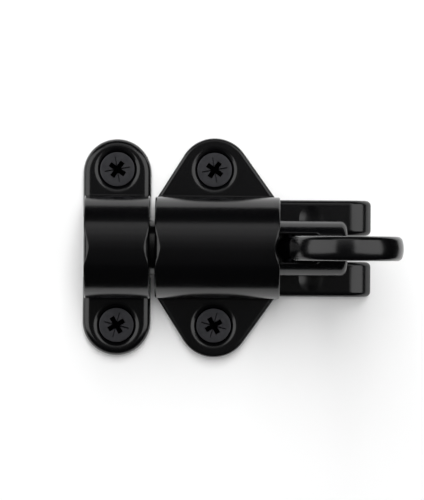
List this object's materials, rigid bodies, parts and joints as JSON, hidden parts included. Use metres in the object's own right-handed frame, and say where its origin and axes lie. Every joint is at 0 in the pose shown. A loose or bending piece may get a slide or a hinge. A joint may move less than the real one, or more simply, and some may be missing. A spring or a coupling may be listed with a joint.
{
  "type": "ring pull spring bolt latch with keeper",
  "caption": "Spring-loaded round bolt in a half-round housing, drawn by a pivoting ring pull, with a separate saddle keeper, both fixed by countersunk screws.",
  "frame": {"origin": "on the mounting plane, midway between the housing's two screws and under the bolt's axis", "axes": "+Z out of the mounting plane; X along the bolt, -X towards the keeper and +X towards the ring; Y along each pair of screws"},
  "size_m": [0.0723, 0.0506, 0.0558],
  "materials": {
    "casting": "satin black coated zinc die casting",
    "bolt_steel": "satin black coated steel",
    "screw_steel": "black zinc plated",
    "spring_steel": "bright drawn wire",
    "inner_steel": "zinc plated",
    "bush_brass": "turned"
  },
  "bodies": {
    "housing_body": {"housing": "casting", "guide_bush": "bush_brass", "bush_lock_pin": "inner_steel", "housing_screw_upper": "screw_steel", "housing_screw_lower": "screw_steel", "bolt_spring": "spring_steel"},
    "keeper_body": {"keeper": "casting", "keeper_screw_upper": "screw_steel", "keeper_screw_lower": "screw_steel"},
    "slider_body": {"thrust_washer": "inner_steel"},
    "bolt_body": {"bolt": "bolt_steel", "retaining_clip": "inner_steel", "ring_pin": "inner_steel"},
    "ring_body": {"ring_pull": "casting"}
  },
  "joints": [
    {"name": "bolt_slide", "type": "slide", "parent": "housing_body", "child": "slider_body", "axis": [1, 0, 0], "range_m": [0, 0.0075], "stiffness_N_per_m": 1000, "springref_m": -0.006, "deforming": ["bolt_spring"]},
    {"name": "bolt_turn", "type": "hinge", "parent": "slider_body", "child": "bolt_body", "pos_m": [0, 0, 0.0095], "axis": [1, 0, 0], "range_deg": [-90, 90]},
    {"name": "ring_swing", "type": "hinge", "parent": "bolt_body", "child": "ring_body", "pos_m": [0.0171, 0, 0.0095], "axis": [0, -1, 0], "range_deg": [0, 18]},
    {"name": "keeper_release", "type": "slide", "parent": "housing_body", "child": "keeper_body", "axis": [-1, 0, 0], "range_m": [0, 0.03]}
  ]
}
